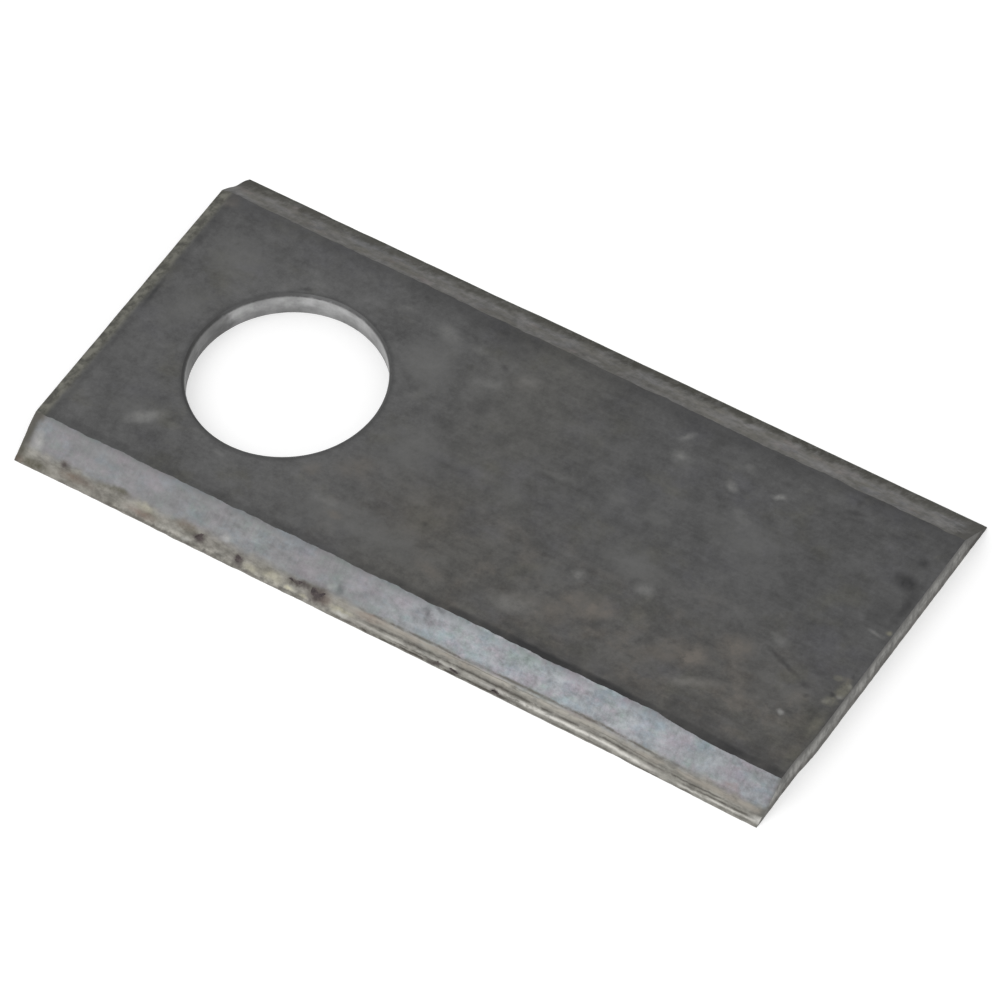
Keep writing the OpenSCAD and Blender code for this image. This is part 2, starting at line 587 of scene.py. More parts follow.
SAP_STAINS = [
    (16.8, 0.26, 2.0, 0.5, 0, 0.35),
    (30.8, 0.10, 1.4, 0.6, 0, 0.36),
    (33.6, 0.14, 2.0, 0.7, 0, 0.38),
    (36.0, 0.10, 0.8, 0.3, 0, 0.80),
    (37.8, 0.06, 0.7, 0.3, 0, 0.50),
    (42.4, 0.13, 2.2, 0.5, 0, 0.45),
]
print(len(NICKS), "nicks and their stains on the front bevel")

# %% Passes along the front edge
TAN = colour(170, 166, 157)
DULL_TAN = colour(156, 150, 141)
PALE = colour(218, 216, 210)
OLIVE = colour(94, 91, 84)
SOOT = colour(66, 62, 56)
# Share of the bevel's height, half width, where it starts and ends along, strength, colour.
PASSES = [
    (0.255, 0.090, 40.0, 64.0, 0.80, DULL_TAN),
    (0.260, 0.090, 57.0, 79.0, 0.80, TAN),
    (0.260, 0.090, 76.0, 99.0, 0.70, DULL_TAN),
    (0.335, 0.045, 42.0, 63.0, 0.90, OLIVE),
    (0.360, 0.045, 57.0, 88.0, 0.90, OLIVE),
    (0.285, 0.014, 52.0, 72.0, 0.60, OLIVE),
    (0.225, 0.014, 70.0, 90.0, 0.50, OLIVE),
    (0.090, 0.050, 42.0, 66.0, 0.30, PALE),
    (0.085, 0.055, 60.0, 85.0, 0.80, PALE),
    (0.060, 0.035, 82.0, 99.0, 0.60, PALE),
    (0.165, 0.040, 43.0, 84.0, 0.75, SOOT),
    (0.165, 0.028, 78.0, 96.0, 0.70, SOOT),
    (0.105, 0.026, 84.0, 98.0, 0.70, SOOT),
    (0.010, 0.030, 76.0, 90.0, 0.75, SOOT),
    (0.055, 0.014, 46.0, 60.0, 0.70, SOOT),
    (0.010, 0.060, 8.0, 42.0, 0.55, SOOT),
    (0.010, 0.040, 40.0, 69.0, 0.95, SOOT),
    (-0.005, 0.030, 64.0, 83.0, 0.60, SOOT),
]
# The passes lie lower where the edge has kept its full width.
UNWORN_FROM = 78.0
UNWORN_SHARE = 0.06
print(len(PASSES), "passes along the front edge")


# %% Bare upper part of the front bevel
def bevel_place(share):
    """The place across the blade at that share of the front bevel's height."""
    return front_edge + share * front_bevel


def on_bevel(rows):
    """Rows whose second number is a share of the bevel's height, with the place across instead."""
    return [(along, bevel_place(share), *rest) for along, share, *rest in rows]


def bright_face(f, height):
    """The bare upper part of the bevel, with its tarnish, and how rough its marks are."""
    far_half = f.ramp(f.along, 36.0, 60.0)
    base = f.mix(far_half, colour(121, 121, 122), colour(140, 143, 146))
    tints = [
        (colour(122, 138, 148), 0.06),
        (colour(119, 138, 128), 0.08),
        (colour(151, 138, 147), 0.05),
    ]
    tarnished = 0.26 + 0.24 * far_half
    for seed, (tint, threshold) in enumerate(tints, start=21):
        patch = f.cloud(0.28, 0.45, 0.45, float(seed), roughness=0.7)
        patch = f.ramp(patch, threshold - 0.10, threshold + 0.12)
        base = f.mix(patch * tarnished, base, tint)
    far_end = f.ramp(f.along, 76.0, 84.0)
    uneven = 1.0 + 1.3 * far_half - 1.2 * far_end + f.band(f.along, 30.0, 12.0, 0.6)
    mottle = f.cloud(0.50, 0.70, 0.70, 24.0, roughness=0.75) * uneven
    fine = f.cloud(1.80, 2.00, 2.00, 34.0, roughness=0.7) * far_end * 0.9
    scratch = f.cloud(3.2, 0.30, 0.30, 25.0, detail=3.0)
    dull_rim = f.ramp(height + mottle * 0.3, 0.86, 1.0, 0.20)
    dull_end = f.ramp(f.along, 78.0, 98.0, 0.14)
    base = f.scaled(base, 1.0 + mottle + fine + scratch * 0.3 - dull_rim - dull_end)
    base = f.mix(f.patches(on_bevel(GREY_RUBS), fray=0.4), base, colour(88, 90, 92))
    return base, scratch + mottle * 0.6


print("bright face ready")


# %% Strip along the front edge
def stained_strip(f, base, strip, height):
    """The worn strip along the edge, where the passes have run together."""
    stain = f.cloud(0.45, 0.9, 0.9, 28.0, roughness=0.7)
    brown = f.mix(f.ramp(stain, -0.20, 0.20), colour(107, 104, 96), colour(161, 158, 150))
    base = f.mix(strip * 0.85, base, brown)
    base = f.mix(f.patches(on_bevel(OLIVE_STAINS), fray=0.5), base, colour(82, 79, 65))
    base = f.mix(f.patches(on_bevel(RED_STAINS), fray=0.4), base, colour(128, 104, 93))
    base = f.mix(f.patches(on_bevel(SAP_STAINS), fray=0.5), base, colour(190, 186, 164))
    beaded = f.band(height, 0.04, 0.09) * f.ramp(f.along, 9.0, 15.0) * f.ramp(f.along, 46.0, 40.0)
    return f.scaled(base, 1.0 + f.cloud(1.0, 1.0, 1.0, 33.0) * beaded * 3.0)


def drawn_passes(f, base, height):
    """The separate lines that the last passes left."""
    unworn_or_painted_shade = f.ramp(f.along, UNWORN_FROM - 3.0, UNWORN_FROM + 5.0, UNWORN_SHARE)
    wander = f.cloud(0.10, 0.0, 0.0, 29.0) * 0.07 + f.cloud(1.0, 0.4, 0.4, 30.0) * 0.05
    line = height + unworn_or_painted_shade + wander
    for seed, (share, half_width, begin, stop, strength, paint) in enumerate(PASSES, start=71):
        broken = f.ramp(f.cloud(0.45, 1.2, 1.2, float(seed), roughness=0.7), -0.14, 0.05)
        ends = f.ramp(f.along, begin, begin + 6.0) * f.ramp(f.along, stop, stop - 6.0)
        base = f.mix(f.band(line, share, half_width, strength) * broken * ends, base, paint)
    return base


print("worn strip ready")


# %% Ground steel of the front bevel
def front_ground():
    f = Finish("ground_front_bevel")
    height = (f.across - front_edge) / front_bevel
    base, marks = bright_face(f, height)
    wander = f.cloud(0.16, 0.0, 0.0, 26.0) * 0.30 + f.cloud(0.9, 0.9, 0.9, 27.0) * 0.20
    strip = f.ramp(height + wander, 0.42, 0.22)
    base = drawn_passes(f, stained_strip(f, base, strip, height), height)
    drawn = strip * f.ramp(f.along, 30.0, 48.0)
    hairlines = f.cloud(0.15, 3.5, 3.5, 31.0, detail=3.0) * drawn
    base = f.scaled(base, 1.0 + hairlines * 0.6)
    # Dark patches around the nicks: rust stain with painted shade.
    base = f.mix(f.patches(on_bevel(NICK_STAINS_AND_SHADE), fray=0.6, broken=2.0), base, colour(80, 74, 72))
    frayed = f.cloud(0.8, 0.8, 0.8, 32.0)
    from_end = f.along + frayed * 1.2 - f.ramp(height, 0.7, 1.0, 0.25)
    base = f.mix(f.ramp(from_end, 1.5, 0.5, 0.8), base, colour(80, 77, 68))
    base = f.mix(f.ramp(length - f.along + frayed, 0.9, 0.3, 0.6), base, colour(92, 92, 88))
    base = f.mix(f.patches(on_bevel(PALE_PATCHES), fray=0.4), base, colour(190, 189, 184))
    roughness = 0.48 + marks * 0.08 + strip * 0.12
    return f.finish(base, roughness, 0.75, marks + hairlines, 0.012)


front_steel = front_ground()
print("ground steel on the front bevel")

# %% [markdown]
# The rear bevel's steel is painted darker than the front's, as painted shade for the dimmer light
# it reflects, and it is duller and tarnished. Its edge has a ragged olive-black band, with short
# streaks that run up from it as water and sap do. Soot isn't metal, so the band loses its metallic
# share together with its colour, and stays dark from every side.


# %% Ground steel of the rear bevel
def rear_ground():
    f = Finish("ground_rear_bevel")
    height = (rear_edge - f.across) / rear_bevel
    patch = f.cloud(0.30, 0.60, 0.60, 41.0)
    mottle = f.cloud(0.80, 1.00, 1.00, 42.0, roughness=0.7)
    scratch = f.cloud(2.60, 0.30, 0.30, 43.0, detail=3.0)
    # Painted shade: this base is a darker grey than the front bevel's, for the dimmer light it
    # reflects.
    base = f.mix(f.ramp(patch, -0.16, 0.16), colour(84, 82, 76), colour(101, 100, 99))
    tarnish = f.ramp(f.cloud(0.22, 0.35, 0.35, 44.0), 0.06, 0.22, 0.4)
    base = f.mix(tarnish, base, colour(106, 94, 90))
    bluish = f.ramp(f.cloud(0.20, 0.30, 0.30, 47.0), 0.04, 0.20, 0.45)
    base = f.mix(bluish, base, colour(90, 92, 98))
    brighter = f.ramp(f.along, 54.0, 66.0, 0.20) - f.ramp(f.along, 78.0, 90.0, 0.10)
    base = f.scaled(base, 1.0 + mottle * 2.0 + scratch * 0.4 + brighter)
    ragged = f.cloud(0.35, 0.0, 0.0, 45.0) * 0.35 + f.cloud(1.3, 0.5, 0.5, 46.0) * 0.65
    worn = f.ramp(f.along, 40.0, 34.0, 0.06)
    sooty = f.ramp(height + ragged - worn, 0.52, 0.14) * (1.0 - f.ramp(f.along, 78.0, 90.0, 0.14))
    sooty = sooty * (1.0 - f.ramp(f.cloud(1.2, 0.6, 0.6, 48.0, roughness=0.7), -0.04, 0.16, 0.45))
    base = f.mix(sooty, base, colour(31, 29, 12))
    base = f.mix(f.ramp(height + ragged, 0.86, 1.04, 0.4), base, colour(70, 69, 66))
    sheared = f.ramp(length - f.along + mottle * 3.0, 2.6, 0.6, 0.75)
    sheared = sheared.at_least(f.ramp(f.along + mottle * 2.0, 1.8, 0.5, 0.6))
    base = f.mix(sheared, base, colour(50, 48, 42))
    roughness = 0.50 + patch * 0.2
    metal = 0.6 * (1.0 - sooty)
    return f.finish(base, roughness, metal, scratch + mottle, 0.012, specular=0.2)


rear_steel = rear_ground()
print("ground steel on the rear bevel")

# %% [markdown]
# ### Sheared, punched and pitted steel
# A shear and a punch first bend the steel, then cut and burnish it, then tear it. So the ends
# are dull just under the top face, where the scale was dragged over, and paler and beaded below.
# The hole wall is painted darker towards its front and towards either end of the blade, as
# painted shade, so that it is brightest on its far side, and its rolled rim still carries scale.


# %% Sheared and punched steel
def cropped_end():
    f = Finish("cropped_end")
    wander = f.cloud(0.5, 0.5, 0.0, 51.0)
    torn = f.ramp(f.up + wander * 1.5, 1.3, 0.6)
    patchy = f.cloud(0.35, 0.35, 0.35, 55.0)
    beads = f.cloud(1.1, 1.1, 0.5, 52.0, roughness=0.7)
    base = f.mix(f.ramp(beads, -0.15, 0.15), colour(104, 103, 99), colour(138, 137, 133))
    base = f.mix(torn * 0.8, base, colour(110, 108, 104))
    dragged_over = f.ramp(f.up + beads * 0.6, thickness - 0.95, thickness - 0.1, 0.9)
    base = f.mix(dragged_over, base, colour(76, 75, 72))
    base = f.mix(f.ramp(f.across + wander * 2.0, 17.6, 19.6, 0.75), base, colour(58, 56, 51))
    base = f.scaled(base, 1.0 + beads * 1.5 + patchy * 1.2)
    return f.finish(base, 0.45 + torn * 0.2, 0.5, beads, 0.04)


def punched_wall():
    f = Finish("punched_wall")
    mottle = f.cloud(0.35, 0.35, 0.45, 53.0, roughness=0.6)
    grain = f.cloud(1.6, 1.6, 0.8, 54.0, roughness=0.65)
    base = f.mix(f.ramp(f.up + mottle * 2.0, 0.6, 2.2), colour(142, 142, 142), colour(179, 179, 179))
    coarse = 0.5 + f.ramp(f.along, 22.0, 28.0, 1.2)
    base = f.scaled(base, 1.0 + mottle * 1.6 + grain * coarse)
    # Painted shade: the wall is darker towards its front and towards either end of the blade, by the
    # way it faces.
    unworn_or_painted_shade = f.ramp(f.across + mottle * 6.0, 6.0, 2.5) * f.ramp(f.along, 20.0, 14.0, 0.75)
    unworn_or_painted_shade = unworn_or_painted_shade.at_least(f.ramp(f.across + mottle * 3.0, 1.5, -2.0, 0.95))
    unworn_or_painted_shade = unworn_or_painted_shade.at_least(f.ramp(f.along + mottle * 5.0, 18.5, 14.5, 0.22))
    unworn_or_painted_shade = unworn_or_painted_shade.at_least(f.ramp(f.along + mottle * 4.0, 22.5, 26.0, 0.40))
    rolled = f.ramp(f.up + grain * 0.3, thickness - 0.36, thickness - 0.10, 0.85)
    # This darker grey is the painted shade.
    base = f.mix(unworn_or_painted_shade, base, colour(84, 84, 83))
    base = f.mix(rolled, base, colour(50, 50, 50))
    return f.finish(base, 0.40 + grain * 0.2, 0.6, grain + mottle, 0.02)


# The pit's dark colour is rust together with painted shade.
def rusted_shaded_pit():
    f = Finish("rusted_shaded_pit")
    grain = f.cloud(1.8, 1.8, 1.8, 61.0, roughness=0.7)
    base = f.mix(f.ramp(grain, -0.2, 0.2), colour(60, 54, 55), colour(100, 91, 90))
    return f.finish(base, 0.75 + grain * 0.2, 0.0, grain, 0.05, specular=0.3)


cropped_steel = cropped_end()
punched_steel = punched_wall()
pit_rust_and_shade = rusted_shaded_pit()
print("cropped ends, punched wall and rusted pits")

# %% [markdown]
# ## Making the blade
# The blade's shape follows its making, so Geometry Nodes repeat that. A dense block stands for
# the rolled bar. Each tool is another block or cylinder whose working face has the waves, lines
# and tears that the tool leaves, and a Boolean cut takes it away. The cut face keeps the tool's
# finish, and where two rough faces meet, the edge between them wanders as a real one does.
# The object's own vertices mark where the wear goes: each carries the size of one nick.

# %% Where the nicks go
def on_front_bevel(along, share):
    """The point on the front bevel at that distance from the hole end and share of its height."""
    z = edge_land + share * (thickness - edge_land)
    return Vector((hole_end + along, bevel_place(share), z))


# A pebble's middle hangs above the bevel by this share of its height, so it leaves a shallow dish.
HANGING = 0.7
bevel_normal = Vector((0, edge_land - thickness, front_bevel)).normalized()
marks = bpy.data.meshes.new("blade")
pebble_middles = []
pebble_sizes = []
for along, share, half_length, half_width, depth in NICKS:
    spread = 1 / math.sqrt(1 - HANGING ** 2)
    tall = depth / (1 - HANGING)
    pebble_middles.append(on_front_bevel(along, share) + bevel_normal * (HANGING * tall))
    pebble_sizes.append((half_length * spread, half_width * spread, tall))
marks.from_pydata(pebble_middles, [], [])
nick_size = marks.attributes.new("nick_size", "FLOAT_VECTOR", "POINT")
for entry, half_sizes in zip(nick_size.data, pebble_sizes):
    entry.vector = half_sizes
print(len(marks.vertices), "nicks marked on the front bevel")


# %% Geometry helpers
class Workshop(Board):
    """The Geometry Nodes tree in which the blade is made."""

    def block(self, sides, cells):
        """A block whose sides are cut into cells of that size. A side with no cell size stays whole."""
        inputs = {"Size": self.vector(*sides)}
        for axis, side, cell in zip("XYZ", sides, cells):
            inputs["Vertices " + axis] = self.math("ROUND", side / cell) + 1 if cell else 2
        return self.node("GeometryNodeMeshCube", None, inputs)

    def moved(self, shape, place, turned=(0, 0, 0)):
        inputs = {"Geometry": shape, "Translation": place, "Rotation": turned}
        return self.node("GeometryNodeTransform", None, inputs)

    def pushed(self, shape, offset):
        return self.node("GeometryNodeSetPosition", None, {"Geometry": shape, "Offset": offset})

    def coated(self, shape, material, where=True):
        inputs = {"Geometry": shape, "Material": material, "Selection": where}
        return self.node("GeometryNodeSetMaterial", None, inputs)

    def cut(self, shape, tools):
        settings = {"operation": "DIFFERENCE", "solver": "MANIFOLD"}
        return self.node("GeometryNodeMeshBoolean", settings, {"Mesh 1": shape, "Mesh 2": tools})

    def place(self):
        return self.node("GeometryNodeInputPosition")

    def waves(self, x, y, z, seed, detail=2.0):
        """Noise from -1 to 1, with so many waves in a millimetre along each direction."""
        stretched = self.vector_math("MULTIPLY", self.place(), (x, y, z))
        return (self.noise(stretched, 1.0, detail, seed=seed) - 0.5) * 2


print("geometry helpers ready")


# %% The tree and its inputs
SIZES = {
    "Length": length,
    "Width": width,
    "Thickness": thickness,
    "Hole radius": hole_radius,
    "Hole from end": -hole_end,
    "Front bevel": front_bevel,
    "Rear bevel": rear_bevel,
    "Edge land": edge_land,
    "Wear seed": 5.0,
}
making = bpy.data.node_groups.new("blade_making", "GeometryNodeTree")
making.interface.new_socket(name="Marks", in_out="INPUT", socket_type="NodeSocketGeometry")
making.interface.new_socket(name="Blade", in_out="OUTPUT", socket_type="NodeSocketGeometry")
size_sockets = {
    name: making.interface.new_socket(name=name, in_out="INPUT", socket_type="NodeSocketFloat")
    for name in SIZES
}
shop = Workshop(making)
given = shop.node("NodeGroupInput")
bar_length = given.out("Length")
bar_width = given.out("Width")
top = given.out("Thickness")
hole_r = given.out("Hole radius")
land = given.out("Edge land")
start_x = -given.out("Hole from end")
middle_x = start_x + bar_length / 2
bar_half_width = bar_width / 2
print("workshop tree with inputs:", ", ".join(SIZES))

# %% [markdown]
# ### The rolled bar
# The bar is longer than the blade, so that both ends can be cropped. It is a little wider in
# front, so that the grinding alone decides where the worn cutting edge runs. It is deeper too, so
# that a coarser floor block can trim the underside: nobody needs the top's fine cells down there.
# The top waves by a few hundredths of a millimetre, bends down at the hole end, where the shear
# dragged it, and dips beside the front bevel.

# %% Rolled bar
SPARE = 2.0
EDGE_SPARE = 0.5
TOP_CELL = 0.36
UNDER_CELL = 1.1
DRAG = 0.22


def dragged(along):
    """How far the shear has bent the steel down at the hole end."""
    return shop.ramp(along, 1.1, -0.1, DRAG)


bar_sides = (bar_length + 2 * SPARE, bar_width + EDGE_SPARE, top + SPARE)
bar = shop.block(bar_sides, (TOP_CELL, TOP_CELL, None))
bar = shop.moved(bar, shop.vector(middle_x, -EDGE_SPARE / 2, (top - SPARE) / 2))
x, y, z = shop.parts(shop.place())
dip = shop.ramp(y + bar_half_width - given.out("Front bevel"), 1.0, -0.2, 0.05)
roll = shop.waves(0.06, 0.10, 0.10, 71.0) * 0.025 + shop.waves(0.5, 0.8, 0.5, 72.0, detail=3.0) * 0.006
rise = (roll - dip - dragged(x - start_x)) * shop.ramp(z, 1.0, 2.0)
bar = shop.coated(shop.pushed(bar, shop.vector(0, 0, rise)), top_scale)

floor_sides = (bar_length + 4 * SPARE, bar_width + 2 * SPARE, 2.0 * SPARE)
floor_block = shop.block(floor_sides, (UNDER_CELL, UNDER_CELL, None))
floor_block = shop.moved(floor_block, shop.vector(middle_x, 0, -SPARE))
hollows = shop.waves(0.10, 0.12, 0.10, 73.0).size() * 0.015
floor_block = shop.coated(shop.pushed(floor_block, shop.vector(0, 0, hollows)), top_scale)
print("rolled bar and the block that trims its underside")

# %% [markdown]
# ### Grinding
# A grinding block lies on each bevel. Its working face carries long waves, which make the line
# between bevel and flat wander, and on the front one the narrow passes along the edge, as
# shallow grooves with rounded ridges between them. The front edge has kept more of its width near
# the far end, and the rear bevel is hollow near the hole end.

# %% Grinding blocks
GRIND_CELL = 0.20
STONE = 3.0


def bevel_slope(bevel):
    return shop.math("ARCTAN2", top - land, bevel)


def grinding_block(bevel, facing, lift, material):
    """A block whose lower face lies on a bevel, moved along the bevel's normal by lift."""
    slope = bevel_slope(bevel)
    sine = shop.math("SINE", slope)
    cosine = shop.math("COSINE", slope)
    reach = bevel / cosine
    sides = (bar_length + 2 * SPARE, reach + 2 * SPARE, STONE)
    stone = shop.block(sides, (GRIND_CELL, GRIND_CELL, None))
    centre_y = ((bevel - sine * STONE) / 2 - bar_half_width) * facing
    centre_z = (land + top + cosine * STONE) / 2
    centre = shop.vector(middle_x, centre_y, centre_z)
    stone = shop.moved(stone, centre, shop.vector(slope * facing, 0, 0))
    stone = shop.pushed(stone, shop.scaled(shop.vector(0, sine * -facing, cosine), lift))
    return shop.coated(stone, material)


def ragged_arris(height, seed):
    """What makes the line between a bevel and the top face waver."""
    waver = shop.waves(0.25, 0.0, 0.0, seed) * 0.16 + shop.waves(0.9, 0.0, 0.0, seed + 1) * 0.08
    return waver * shop.ramp(height, 0.7, 1.0)


print("grinding blocks ready")


# %% The two ground faces
def front_lift():
    x, y = shop.parts(shop.place())[:2]
    along = x - start_x
    height = (y + bar_half_width) / given.out("Front bevel")
    long_waves = shop.waves(0.07, 0.0, 0.0, 81.0) * 0.05 + shop.waves(0.4, 0.1, 0.1, 82.0) * 0.025
    cross_marks = shop.waves(1.8, 0.15, 0.15, 83.0) * 0.008
    passes = shop.ramp(along, 38.0, 48.0)
    grooves = shop.band(height, 0.350, 0.045, 0.03) + shop.band(height, 0.165, 0.045, 0.05)
    ridges = shop.band(height, 0.255, 0.07, 0.02) + shop.band(height, 0.085, 0.07, 0.03)
    near_edge = shop.ramp(height, 0.40, 0.15)
    rough = shop.waves(0.8, 1.2, 1.2, 84.0, detail=3.0) * near_edge * (1 - passes * 0.5) * 0.05
    worn = shop.ramp(along, UNWORN_FROM + 2.0, UNWORN_FROM, 0.06) * near_edge
    unworn_or_painted_shade = shop.ramp(along, UNWORN_FROM, length, 0.10) * near_edge
    cut_back = shop.ramp(along, 14.0, 34.0, 0.05) + shop.ramp(along, 66.0, 72.0, 0.05)
    held_back = (shop.ramp(along, 78.5, 88.0, 0.32) - cut_back) * shop.ramp(height, 0.6, 1.0)
    shaped = (ridges - grooves) * passes + rough + unworn_or_painted_shade - worn + held_back
    bent = dragged(along) * shop.ramp(height, 0.05, 0.5)
    return long_waves + cross_marks + shaped + ragged_arris(height, 88.0) - bent


def rear_lift():
    x, y = shop.parts(shop.place())[:2]
    along = x - start_x
    height = (bar_half_width - y) / given.out("Rear bevel")
    long_waves = shop.waves(0.09, 0.0, 0.0, 85.0) * 0.06 + shop.waves(0.5, 0.1, 0.1, 86.0) * 0.03
    cross_marks = shop.waves(1.8, 0.15, 0.15, 87.0) * 0.008
    worn = shop.ramp(along, 40.0, 34.0, 0.12) * shop.ramp(height, 0.35, 0.0)
    hollow = shop.ramp(along, 7.0, 0.0, 0.20) * shop.band(height, 0.5, 0.5)
    ground_in = shop.ramp(height, 0.6, 1.0, 0.06)
    waver = long_waves + cross_marks + ragged_arris(height, 90.0)
    bent = dragged(along) * shop.ramp(height, 0.05, 0.5)
    return waver - worn - hollow - ground_in - bent


front_stone = grinding_block(given.out("Front bevel"), 1, front_lift(), front_steel)
rear_stone = grinding_block(given.out("Rear bevel"), -1, rear_lift(), rear_steel)
print("a grinding block on each bevel")

# %% [markdown]
# ### Cropping and punching
# The shear leaves an upright burnished band under the top face, and a torn face below it that
# falls back, and at the far end it has cut the front corner a little short. The punch does the
# same in the hole, after it has rolled the rim inwards, and the stud has since worn the hole a
# little wider.

# %% Shears
SHEAR_CELL = 0.22
SHEAR_BAND = 1.0
# How far from the front edge a corner's cut begins, and where it has its full depth.
CORNER_START = 11.5
CORNER_FULL = 7.0


def shear(end_x, outward, lean, corner_cut, seed):
    """A block that stands against an end of the blade."""
    sides = (STONE, bar_width + 2 * SPARE, top + 2 * SPARE)
    tool = shop.block(sides, (None, SHEAR_CELL, SHEAR_CELL))
    tool = shop.moved(tool, shop.vector(end_x + outward * STONE / 2, 0, top / 2))
    y, z = shop.parts(shop.place())[1:]
    edge_of_band = top - SHEAR_BAND + shop.waves(0.0, 0.35, 0.0, seed, detail=3.0) * 0.35
    below = (edge_of_band - z).at_least(0.0)
    fall = below * lean / (top - SHEAR_BAND)
    torn = shop.waves(0.0, 1.1, 1.4, seed + 1, detail=4.0) * shop.ramp(below, 0.0, 0.3, 0.07)
    drawn = shop.waves(0.0, 2.2, 0.1, seed + 2) * 0.008 + shop.waves(0.0, 0.25, 0.0, seed + 3) * 0.05
    corner = shop.ramp(y + bar_half_width, CORNER_START, CORNER_FULL, corner_cut)
    tool = shop.pushed(tool, shop.vector((fall + torn + drawn + corner) * -outward, 0, 0))
    return shop.coated(tool, cropped_steel)


hole_end_shear = shear(start_x, outward=-1, lean=0.35, corner_cut=0.0, seed=95.0)
far_end_shear = shear(start_x + bar_length, outward=1, lean=0.08, corner_cut=0.28, seed=105.0)
print("a shear at each end")

# %% Punch
HOLE_CELL = 0.14
HOLE_SEGMENTS = 300
RIM_ROLL = 0.4
HOLE_TEAR = 0.08
HOLE_WEAR = 0.13
FAR_SIDE_WEAR = 0.07


def punch():
    inputs = {
        "Vertices": HOLE_SEGMENTS,
        "Side Segments": shop.math("ROUND", top / HOLE_CELL),
        "Radius": hole_r,
        "Depth": top + 2 * RIM_ROLL,
    }
    tool = shop.node("GeometryNodeMeshCylinder", None, inputs)
    tool = shop.moved(tool, shop.vector(0, 0, top / 2))
    x, y, z = shop.parts(shop.place())
    rise = (z - (top - RIM_ROLL)).at_least(0.0) / RIM_ROLL
    rounded = 1 - (1 - (rise * rise).at_most(1.0)) ** 0.5
    rolled = (rounded + (rise - 1).at_least(0.0)) * RIM_ROLL
    edge_of_band = top / 2 + shop.waves(0.3, 0.3, 0.0, 91.0, detail=3.0) * 0.5
    below = (edge_of_band - z).at_least(0.0)
    torn = shop.waves(1.1, 1.1, 1.4, 92.0, detail=4.0) * shop.ramp(below, 0.0, 0.3, 0.05)
    drawn = shop.waves(1.8, 1.8, 0.1, 93.0) * 0.01
    worn = HOLE_WEAR + shop.ramp(x / hole_r, 0.3, 1.0, FAR_SIDE_WEAR)
    grow = worn + rolled + below * 2 * HOLE_TEAR / top + torn + drawn
    outward = shop.scaled(shop.vector(x, y, 0), grow / hole_r)
    return shop.coated(shop.pushed(tool, outward), punched_steel)


hole_punch = punch()
print("a punch for the hole")

# %% [markdown]
# ### Nicks
# Each mark becomes a small rough pebble, laid on the bevel with its own size, and cut out. The
# pebbles' surfaces are broken up by noise so that no two pits are alike.

# %% Nicks
pebble = shop.node("GeometryNodeMeshIcoSphere", None, {"Radius": 1.0, "Subdivisions": 4})
pebble_size = shop.node(
    "GeometryNodeInputNamedAttribute", {"data_type": "FLOAT_VECTOR"}, {"Name": "nick_size"}
)
pebbles = shop.node("GeometryNodeInstanceOnPoints", None, {
    "Points": given.out("Marks"),
    "Instance": pebble,
    "Rotation": shop.vector(bevel_slope(given.out("Front bevel")), 0, 0),
    "Scale": pebble_size,
})
pebbles = shop.node("GeometryNodeRealizeInstances", None, {"Geometry": pebbles})
jitter = shop.noise(shop.place(), 1.2, detail=4.0, seed=given.out("Wear seed")).out("Color")
jitter = shop.vector_math("SUBTRACT", jitter, (0.5, 0.5, 0.5))
jitter = shop.vector_math("MULTIPLY", jitter, (1.5, 1.2, 0.4))
pebbles = shop.coated(shop.pushed(pebbles, jitter), pit_rust_and_shade)
print("pebbles for the nicks")

# %% [markdown]
# ### Cutting and baking
# All tools are cut from the bar, and edges sharper than a set angle stay crisp. The tree then
# scales the blade to metres and gives the face it lies on a scale pattern of its own. The
# evaluated result is copied into a plain mesh, so that nothing depends on the tree any more.

# %% Cut and shade
CRISP = math.radians(32)
FACING_DOWN = -0.9

tools = [floor_block, front_stone, rear_stone, hole_end_shear, far_end_shear, hole_punch]
made = shop.cut(shop.cut(bar, tools), [pebbles])
made = shop.node("GeometryNodeRealizeInstances", None, {"Geometry": made})
bend = shop.node("GeometryNodeInputMeshEdgeAngle")
soft_edges = shop.node("FunctionNodeCompare", {"operation": "LESS_EQUAL"}, {0: bend, 1: CRISP})
made = shop.node(
    "GeometryNodeSetShadeSmooth", {"domain": "EDGE"}, {"Geometry": made, "Shade Smooth": soft_edges}
)
made = shop.node("GeometryNodeTransform", None, {"Geometry": made, "Scale": (MM, MM, MM)})
face_z = shop.parts(shop.node("GeometryNodeInputNormal"))[2]
underneath = shop.node("FunctionNodeCompare", {"operation": "LESS_THAN"}, {0: face_z, 1: FACING_DOWN})
shop.node("NodeGroupOutput", None, {0: shop.coated(made, under_scale, underneath)})
print("the tree has", len(making.nodes), "nodes")

# %% Bake
maker = bpy.data.objects.new("blade_maker", marks)
bpy.context.scene.collection.objects.link(maker)
modifier = maker.modifiers.new("blade_making", "NODES")
modifier.node_group = making
for name, value in SIZES.items():
    modifier[size_sockets[name].identifier] = value
evaluated = maker.evaluated_get(bpy.context.evaluated_depsgraph_get())
blade_mesh = bpy.data.meshes.new_from_object(evaluated)
bpy.data.objects.remove(maker)
# Set Material leaves an empty slot in front, which no face uses.
empty_slot = 0
assert blade_mesh.materials[empty_slot] is None
assert all(p.material_index != empty_slot for p in blade_mesh.polygons)
blade_mesh.materials.pop(index=empty_slot)
blade = bpy.data.objects.new("mower_blade", blade_mesh)
bpy.context.scene.collection.objects.link(blade)
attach(blade, "root")
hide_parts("blade")
triangles = sum(len(p.vertices) - 2 for p in blade_mesh.polygons)
print(f"blade: {len(blade_mesh.vertices)} vertices, {triangles} triangles")
print("finishes:", [m.name for m in blade_mesh.materials])

# %% [markdown]
# ## Stage and light
# The photograph is a cut-out on white. A pale floor carries the soft shadow. It is lifted to
# white only where the camera sees it, straight or mirrored, so it sheds no more light on the
# blade. The world is plain and even, and one large soft lamp from the front left gives the front
# bevel its brightness.

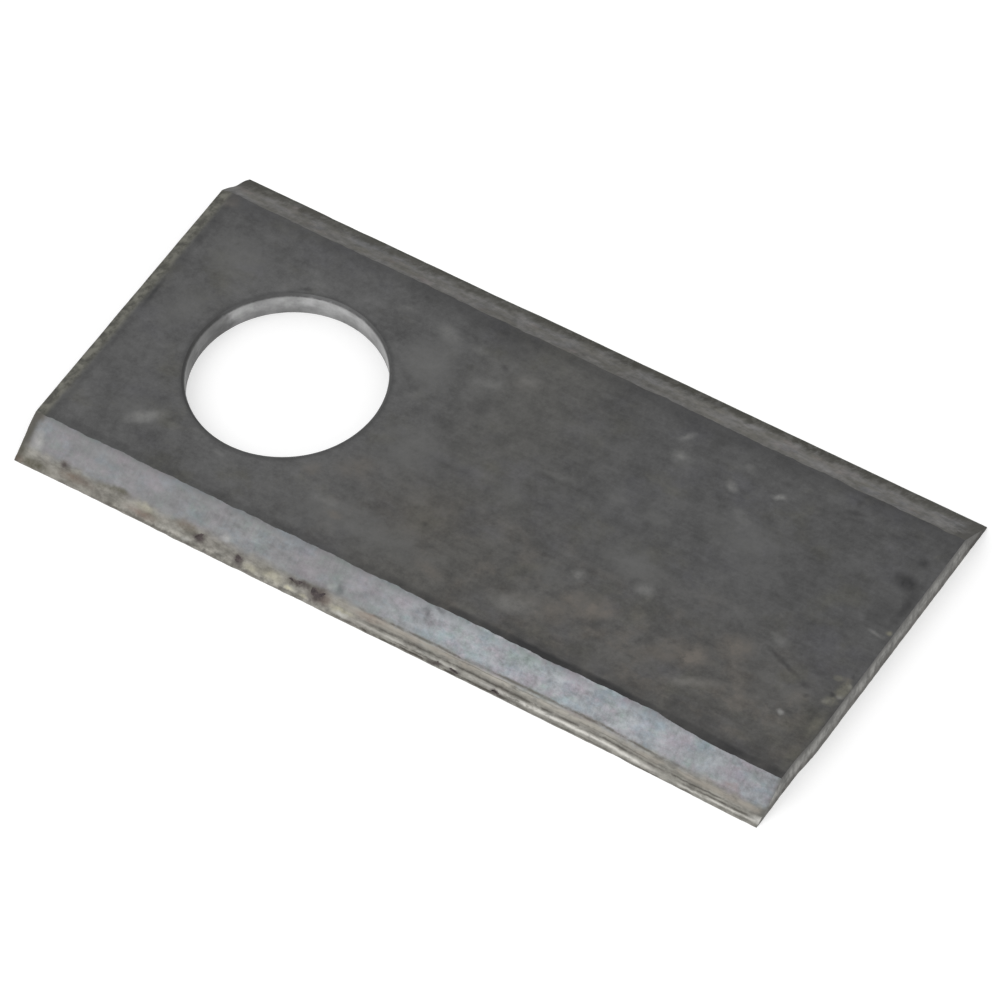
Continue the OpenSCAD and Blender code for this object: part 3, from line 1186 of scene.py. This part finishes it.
# %% Floor
FLOOR_SIZE = 6.0
FLOOR_PAINT = (0.68, 0.68, 0.68, 1)
FLOOR_LIFT = 0.46
WHITE = (1, 1, 1, 1)


def shown_rays(board):
    """1 for rays that show the surroundings to the camera, straight or by a reflection."""
    rays = board.node("ShaderNodeLightPath")
    return rays.at_least(rays.out("Is Glossy Ray")).at_least(rays.out("Is Transmission Ray"))


half = FLOOR_SIZE / 2
floor_mesh = bpy.data.meshes.new("floor")
floor_corners = [(-half, -half, 0), (half, -half, 0), (half, half, 0), (-half, half, 0)]
floor_mesh.from_pydata(floor_corners, [], [(0, 1, 2, 3)])
floor = bpy.data.objects.new("floor", floor_mesh)
bpy.context.scene.collection.objects.link(floor)

floor_paint = bpy.data.materials.new("floor_paint")
floor_paint.use_nodes = True
floor_board = Board(floor_paint.node_tree)
floor_board.tree.nodes.clear()
paint = floor_board.node("ShaderNodeBsdfDiffuse", None, {"Color": FLOOR_PAINT})
lift_inputs = {"Color": WHITE, "Strength": shown_rays(floor_board) * FLOOR_LIFT}
lift = floor_board.node("ShaderNodeEmission", None, lift_inputs)
lifted = floor_board.node("ShaderNodeAddShader", None, {0: paint, 1: lift})
floor_board.node("ShaderNodeOutputMaterial", None, {"Surface": lifted})
floor_mesh.materials.append(floor_paint)
print("floor ready")

# %% World and lamp
SKY = 0.80
LAMP_SIZE = 0.5
LAMP_POWER = 0.8
LAMP_DISTANCE = 0.7
LAMP_FROM = Vector((-0.36, -0.46, 0.81)).normalized()

world = bpy.data.worlds.new("studio")
bpy.context.scene.world = world
world.use_nodes = True
world_board = Board(world.node_tree)
world_board.tree.nodes.clear()
sky_strength = SKY + shown_rays(world_board) * (1 - SKY)
sky = world_board.node("ShaderNodeBackground", None, {"Color": WHITE, "Strength": sky_strength})
world_board.node("ShaderNodeOutputWorld", None, {"Surface": sky})

lamp_data = bpy.data.lights.new("soft_lamp", "AREA")
lamp_data.shape = "SQUARE"
lamp_data.size = LAMP_SIZE
lamp_data.energy = LAMP_POWER
lamp = bpy.data.objects.new("soft_lamp", lamp_data)
bpy.context.scene.collection.objects.link(lamp)
facing_blade = LAMP_FROM.to_track_quat("Z", "Y").to_matrix().to_4x4()
lamp.matrix_world = Matrix.Translation(AIM + LAMP_FROM * LAMP_DISTANCE) @ facing_blade
bpy.context.scene.view_settings.view_transform = "Standard"
print("even world and one soft lamp")
